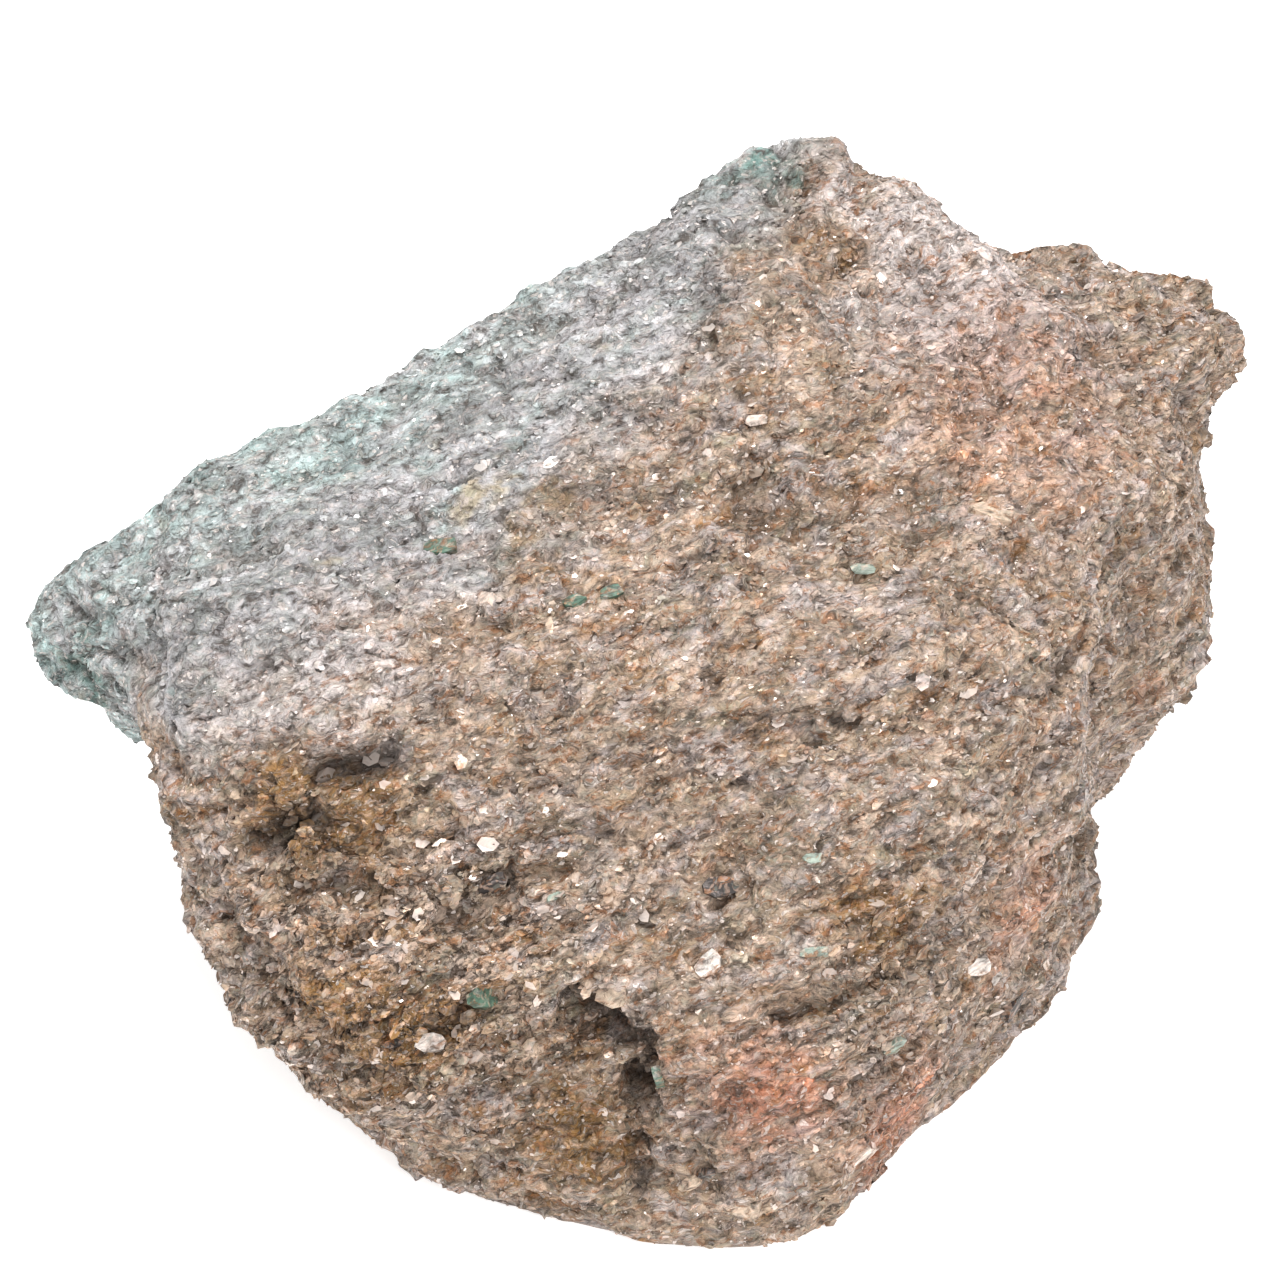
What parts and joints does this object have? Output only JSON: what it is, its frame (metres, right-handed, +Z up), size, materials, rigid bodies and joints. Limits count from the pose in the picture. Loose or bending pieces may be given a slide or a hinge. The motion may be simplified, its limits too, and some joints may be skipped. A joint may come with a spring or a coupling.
{
  "type": "mica schist hand specimen",
  "caption": "Rough lump of mica schist with a grey-green slab end, a brown front and a flat resting face, for display or study.",
  "frame": {"origin": "middle of the bounding box, on the plane that the lump rests on", "axes": "+X along the longest extent, from the thin tip to the square shoulder; +Z up, the shortest extent"},
  "size_m": [0.08, 0.0682, 0.0405],
  "materials": {
    "mica_schist": "rough broken rock with glittering mica flakes, grey-green at the left and iron-stained brown in front"
  },
  "bodies": {
    "root": {"mica_schist_rock": "mica_schist"}
  },
  "joints": []
}
